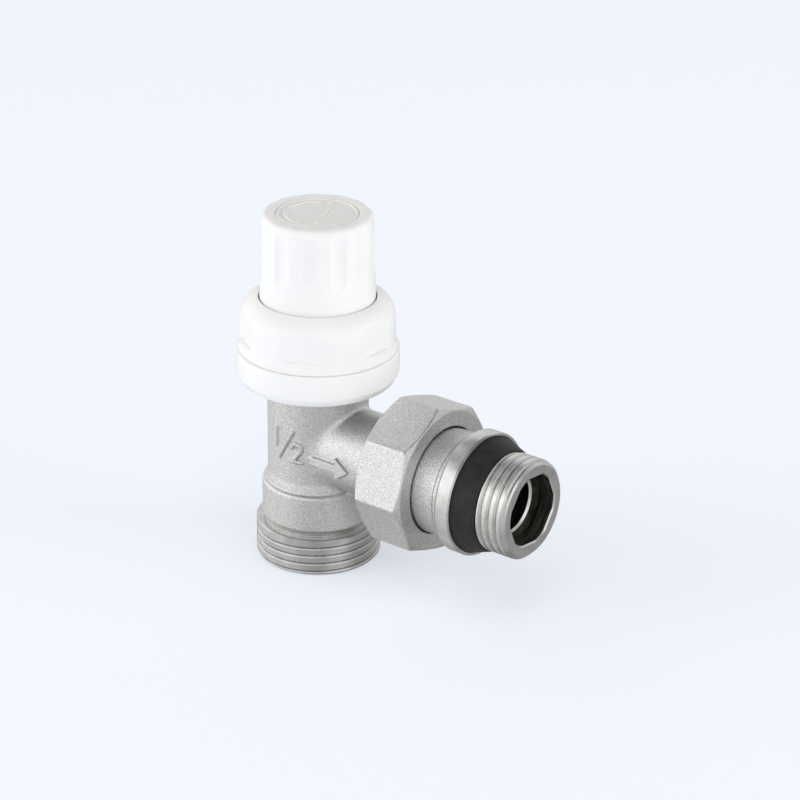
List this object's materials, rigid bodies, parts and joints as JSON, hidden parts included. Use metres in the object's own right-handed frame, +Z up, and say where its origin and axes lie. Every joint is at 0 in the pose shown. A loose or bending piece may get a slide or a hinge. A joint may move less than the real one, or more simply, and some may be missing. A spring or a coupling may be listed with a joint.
{
  "type": "lockshield valve",
  "caption": "Angle radiator valve in nickelled brass with a white hand-turned cap, a flanged inlet thread below and a union tailpiece with a rubber seal at the side.",
  "frame": {"origin": "centre of the foot of the inlet thread, on the valve axis", "axes": "+Z up the valve axis to the cap; +X along the tailpiece to its outlet; -Y is the side with the flow arrow"},
  "size_m": [0.0727, 0.0342, 0.0768],
  "materials": {
    "cast_nickel": "shot-blasted nickel plate",
    "turned_nickel": "turned and nickel plated",
    "brass": "turned",
    "steel": "plain",
    "rubber": "matt",
    "ptfe": "waxy",
    "white_plastic": "satin gloss",
    "grey_white_plastic": "matt moulded"
  },
  "bodies": {
    "body": {"valve_body": "cast_nickel", "bonnet": "brass", "bonnet_o_ring": "rubber", "gland_washer": "ptfe", "gland_nut": "brass", "collar_insert": "brass", "collar_base_ring": "white_plastic", "cap_collar": "white_plastic"},
    "plug": {"plug": "brass", "plug_clip": "steel", "plug_seal": "rubber", "plug_screw": "steel"},
    "spindle": {"spindle": "brass", "spindle_o_rings": "rubber", "knob": "white_plastic", "knob_insert": "brass", "knob_screw": "steel", "knob_cover": "grey_white_plastic"},
    "tail": {"tailpiece": "turned_nickel", "seal_carrier": "turned_nickel", "tail_seal": "rubber", "union_gasket": "rubber"},
    "nut": {"union_nut": "cast_nickel"}
  },
  "joints": [
    {"name": "plug_lift", "type": "slide", "parent": "body", "child": "plug", "axis": [0, 0, 1], "range_m": [0, 0.003]},
    {"name": "knob_turn", "type": "hinge", "parent": "plug", "child": "spindle", "pos_m": [0, 0, 0.05], "axis": [0, 0, 1], "range_deg": [0, 720]},
    {"name": "tail_slide", "type": "slide", "parent": "body", "child": "tail", "axis": [1, 0, 0], "range_m": [0, 0.00726]},
    {"name": "nut_turn", "type": "hinge", "parent": "tail", "child": "nut", "pos_m": [0.0276, 0, 0.0263], "axis": [1, 0, 0], "range_deg": [0, 1440]}
  ],
  "couplings": [
    {"joint": "knob_turn", "follows": "plug_lift", "rad_per_m": 4188.8},
    {"joint": "nut_turn", "follows": "tail_slide", "rad_per_m": 3463.7}
  ]
}
